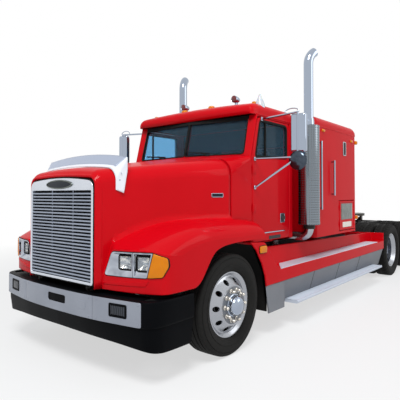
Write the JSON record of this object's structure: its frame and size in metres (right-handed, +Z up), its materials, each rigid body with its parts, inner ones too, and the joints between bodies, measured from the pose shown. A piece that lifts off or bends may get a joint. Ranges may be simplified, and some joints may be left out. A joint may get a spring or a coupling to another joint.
{
  "type": "semi truck tractor unit",
  "caption": "Conventional highway tractor with tilting hood, flat-top sleeper, exhaust stacks, side fairings and a fifth wheel plate for coupling a trailer.",
  "frame": {"origin": "on the ground under the middle of the truck's length and width", "axes": "+X to the truck's left (driver's side), +Y from nose to tail, +Z up"},
  "size_m": [3.176, 8.64, 3.5759],
  "materials": {
    "red_paint": "gloss",
    "black_steel": "satin",
    "black_rubber": "matte",
    "engine_metal": "painted",
    "tank_metal": "brushed",
    "black_plastic": "matte",
    "bright_steel": "polished",
    "lamp_lens": "gloss",
    "amber_lens": "gloss",
    "window_glass": "polished",
    "seat_cloth": "woven",
    "grey_plastic": "satin",
    "wheel_metal": "polished",
    "tyre_rubber": "matte"
  },
  "bodies": {
    "chassis": {"frame_rails": "black_steel", "frame_fittings": "black_steel", "axles": "black_steel", "suspension": "black_steel", "air_springs": "black_rubber", "engine": "engine_metal", "fuel_tanks": "tank_metal", "bumper": "black_plastic", "bumper_face": "bright_steel", "lamps": "lamp_lens", "cab_shell": "red_paint", "cab_roof": "red_paint", "windshield": "window_glass", "seats": "seat_cloth", "dashboard": "black_plastic", "sleeper_shell": "red_paint", "sleeper_roof": "red_paint", "sleeper_boot": "black_rubber", "grab_handles": "bright_steel", "exhaust_stacks": "bright_steel", "side_fairings": "red_paint", "skirts": "grey_plastic", "tread_plates": "tank_metal", "fifth_wheel_base": "black_steel", "mud_flaps": "black_rubber"},
    "hood": {"hood": "red_paint", "grille": "bright_steel", "hood_shield": "bright_steel", "headlamps": "lamp_lens", "turn_lamps": "amber_lens"},
    "door_left": {"door_left": "red_paint", "door_glass_left": "window_glass", "mirror_left": "bright_steel"},
    "door_right": {"door_right": "red_paint", "door_glass_right": "window_glass", "mirror_right": "bright_steel"},
    "luggage_door_left": {"luggage_door_left": "red_paint"},
    "luggage_door_right": {"luggage_door_right": "red_paint"},
    "knuckle_left": {"knuckle_left": "black_steel"},
    "knuckle_right": {"knuckle_right": "black_steel"},
    "tie_rod": {"tie_rod": "black_steel"},
    "steering_wheel": {"steering_wheel": "black_plastic"},
    "front_wheel_left": {"wheel_front_left": "wheel_metal", "tyre_front_left": "tyre_rubber"},
    "front_wheel_right": {"wheel_front_right": "wheel_metal", "tyre_front_right": "tyre_rubber"},
    "twin_first_left": {"wheel_first_left": "wheel_metal", "tyres_first_left": "tyre_rubber"},
    "twin_first_right": {"wheel_first_right": "wheel_metal", "tyres_first_right": "tyre_rubber"},
    "twin_second_left": {"wheel_second_left": "wheel_metal", "tyres_second_left": "tyre_rubber"},
    "twin_second_right": {"wheel_second_right": "wheel_metal", "tyres_second_right": "tyre_rubber"},
    "fifth_wheel": {"fifth_wheel_plate": "black_steel"}
  },
  "joints": [
    {"name": "hood_tilt", "type": "hinge", "parent": "chassis", "child": "hood", "pos_m": [0, -4.23, 0.765], "axis": [1, 0, 0], "range_deg": [0, 60]},
    {"name": "door_left", "type": "hinge", "parent": "chassis", "child": "door_left", "pos_m": [0.994, -2.411, 1.6], "axis": [0, 0, -1], "range_deg": [0, 70]},
    {"name": "door_right", "type": "hinge", "parent": "chassis", "child": "door_right", "pos_m": [-0.994, -2.411, 1.6], "axis": [0, 0, 1], "range_deg": [0, 70]},
    {"name": "luggage_left", "type": "hinge", "parent": "chassis", "child": "luggage_door_left", "pos_m": [1.168, -0.254, 1.285], "axis": [0, 0, -1], "range_deg": [0, 100]},
    {"name": "luggage_right", "type": "hinge", "parent": "chassis", "child": "luggage_door_right", "pos_m": [-1.168, -0.254, 1.285], "axis": [0, 0, 1], "range_deg": [0, 100]},
    {"name": "steer_left", "type": "hinge", "parent": "chassis", "child": "knuckle_left", "pos_m": [0.905, -3.08, 0.505], "axis": [0, 0, 1], "range_deg": [-38, 38]},
    {"name": "steer_right", "type": "hinge", "parent": "chassis", "child": "knuckle_right", "pos_m": [-0.905, -3.08, 0.505], "axis": [0, 0, 1], "range_deg": [-38.5, 38.5]},
    {"name": "tie_rod_swing", "type": "hinge", "parent": "knuckle_left", "child": "tie_rod", "pos_m": [0.905, -2.895, 0.345], "axis": [0, 0, 1], "range_deg": [-38.5, 38.5]},
    {"name": "steering_wheel_turn", "type": "hinge", "parent": "chassis", "child": "steering_wheel", "pos_m": [0.5, -2.095, 1.824], "axis": [0, 0.4997, 0.8662], "range_deg": [-685, 685]},
    {"name": "front_spin_left", "type": "hinge", "parent": "knuckle_left", "child": "front_wheel_left", "pos_m": [1.04, -3.08, 0.505], "axis": [1, 0, 0], "continuous": true},
    {"name": "front_spin_right", "type": "hinge", "parent": "knuckle_right", "child": "front_wheel_right", "pos_m": [-1.04, -3.08, 0.505], "axis": [1, 0, 0], "continuous": true},
    {"name": "first_spin_left", "type": "hinge", "parent": "chassis", "child": "twin_first_left", "pos_m": [0.9, 2.375, 0.505], "axis": [1, 0, 0], "continuous": true},
    {"name": "first_spin_right", "type": "hinge", "parent": "chassis", "child": "twin_first_right", "pos_m": [-0.9, 2.375, 0.505], "axis": [1, 0, 0], "continuous": true},
    {"name": "second_spin_left", "type": "hinge", "parent": "chassis", "child": "twin_second_left", "pos_m": [0.9, 3.695, 0.505], "axis": [1, 0, 0], "continuous": true},
    {"name": "second_spin_right", "type": "hinge", "parent": "chassis", "child": "twin_second_right", "pos_m": [-0.9, 3.695, 0.505], "axis": [1, 0, 0], "continuous": true},
    {"name": "fifth_wheel_tip", "type": "hinge", "parent": "chassis", "child": "fifth_wheel", "pos_m": [0, 2.87, 1.085], "axis": [1, 0, 0], "range_deg": [-12, 12]}
  ],
  "couplings": [
    {"joint": "steer_right", "follows": "steer_left", "ratio": 1},
    {"joint": "tie_rod_swing", "follows": "steer_left", "ratio": -1},
    {"joint": "steering_wheel_turn", "follows": "steer_left", "ratio": 18}
  ]
}
